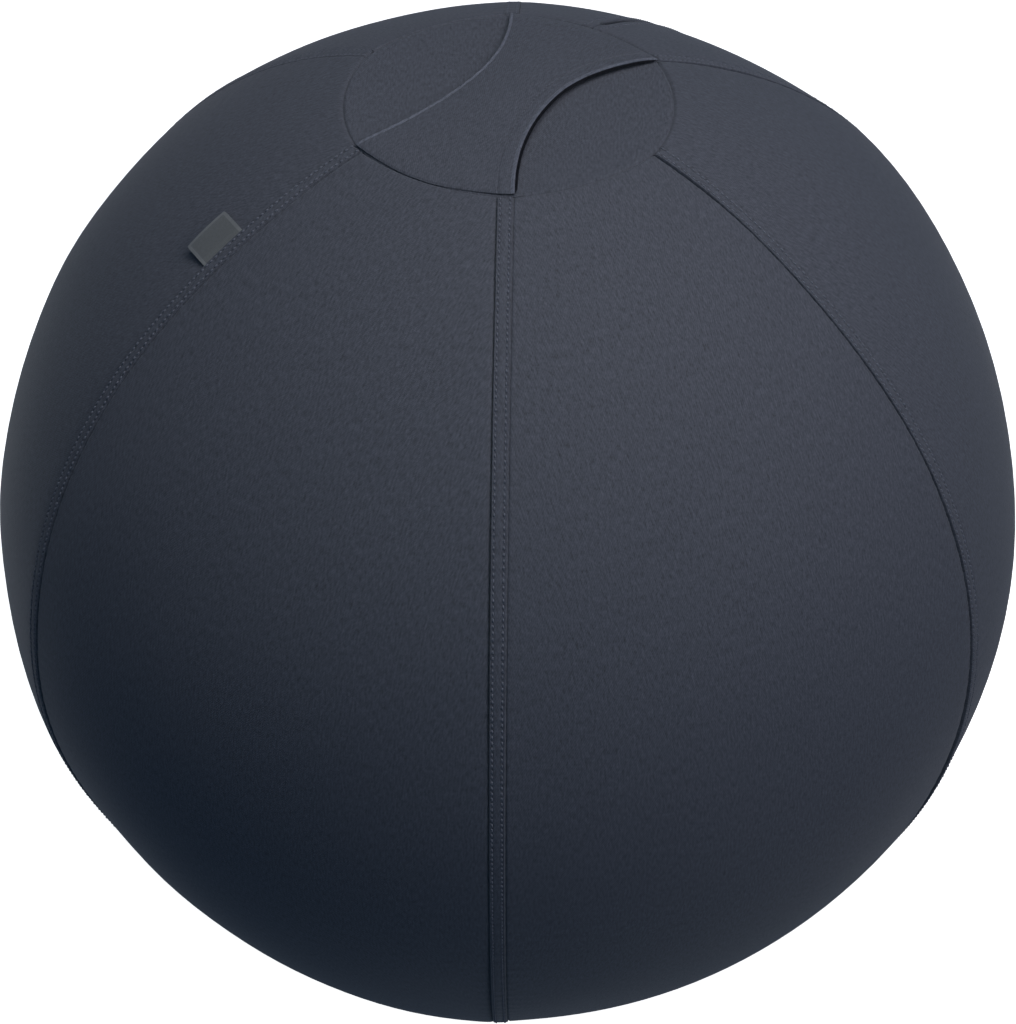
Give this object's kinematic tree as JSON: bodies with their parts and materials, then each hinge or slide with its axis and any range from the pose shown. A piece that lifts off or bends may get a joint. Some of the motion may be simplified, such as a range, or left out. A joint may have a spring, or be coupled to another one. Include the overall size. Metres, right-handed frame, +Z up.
{
  "type": "sitting ball",
  "caption": "Round office sitting ball: dark woven cover of sewn panels with a carry handle on top, a rear zip and a flat base, over an inflated inner ball.",
  "frame": {"origin": "middle of the flat patch that the ball stands on", "axes": "+Z up; the front seam of the cover faces -Y; two panel middles face +X and -X"},
  "size_m": [0.65, 0.6588, 0.6361],
  "materials": {
    "cover_fabric": "matte",
    "handle_fabric": "matte",
    "label_ribbon": "satin",
    "zip_tape": "matte",
    "zip_plastic": "satin",
    "zip_metal": "satin",
    "ball_skin": "satin",
    "valve_plastic": "satin",
    "plug_plastic": "satin",
    "sand": "matte"
  },
  "bodies": {
    "cover": {"panel_right": "cover_fabric", "panel_zip_right": "cover_fabric", "panel_zip_rear": "cover_fabric", "panel_rear_left": "cover_fabric", "panel_left": "cover_fabric", "panel_front_left": "cover_fabric", "panel_front_right": "cover_fabric", "seat_disc": "cover_fabric", "base_disc": "cover_fabric", "zip_tape_right": "zip_tape", "zip_tape_rear": "zip_tape", "zip_chain_right": "zip_plastic", "zip_chain_rear": "zip_plastic", "zip_upper_stop": "zip_plastic", "zip_lower_stops": "zip_plastic", "inner_ball": "ball_skin", "valve_seat": "valve_plastic", "ballast_sand": "sand"},
    "handle": {"carry_handle": "handle_fabric"},
    "label": {"label_tab": "label_ribbon"},
    "zip_slider": {"zip_slider": "zip_metal", "zip_pull_pin": "zip_metal"},
    "zip_pull": {"zip_pull": "zip_metal"},
    "valve_plug": {"valve_plug": "plug_plastic"}
  },
  "joints": [
    {"name": "handle_lift", "type": "slide", "parent": "cover", "child": "handle", "axis": [0, 0, 1], "range_m": [0, 0.02], "deforming": ["carry_handle"]},
    {"name": "label_flip", "type": "hinge", "parent": "cover", "child": "label", "pos_m": [-0.16437, -0.08844, 0.58822], "axis": [0.7163, 0.4136, 0.562], "range_deg": [0, 80]},
    {"name": "zip_run", "type": "hinge", "parent": "cover", "child": "zip_slider", "pos_m": [0, 0, 0.31903], "axis": [0.866, -0.5, 0], "range_deg": [0, 87]},
    {"name": "pull_swing", "type": "hinge", "parent": "zip_slider", "child": "zip_pull", "pos_m": [0.15537, 0.26911, 0.21266], "axis": [0.866, -0.5, 0], "range_deg": [-18, 150]},
    {"name": "plug_draw", "type": "slide", "parent": "cover", "child": "valve_plug", "axis": [0.5947, 0.7612, 0.2588], "range_m": [0, 0.002]}
  ]
}
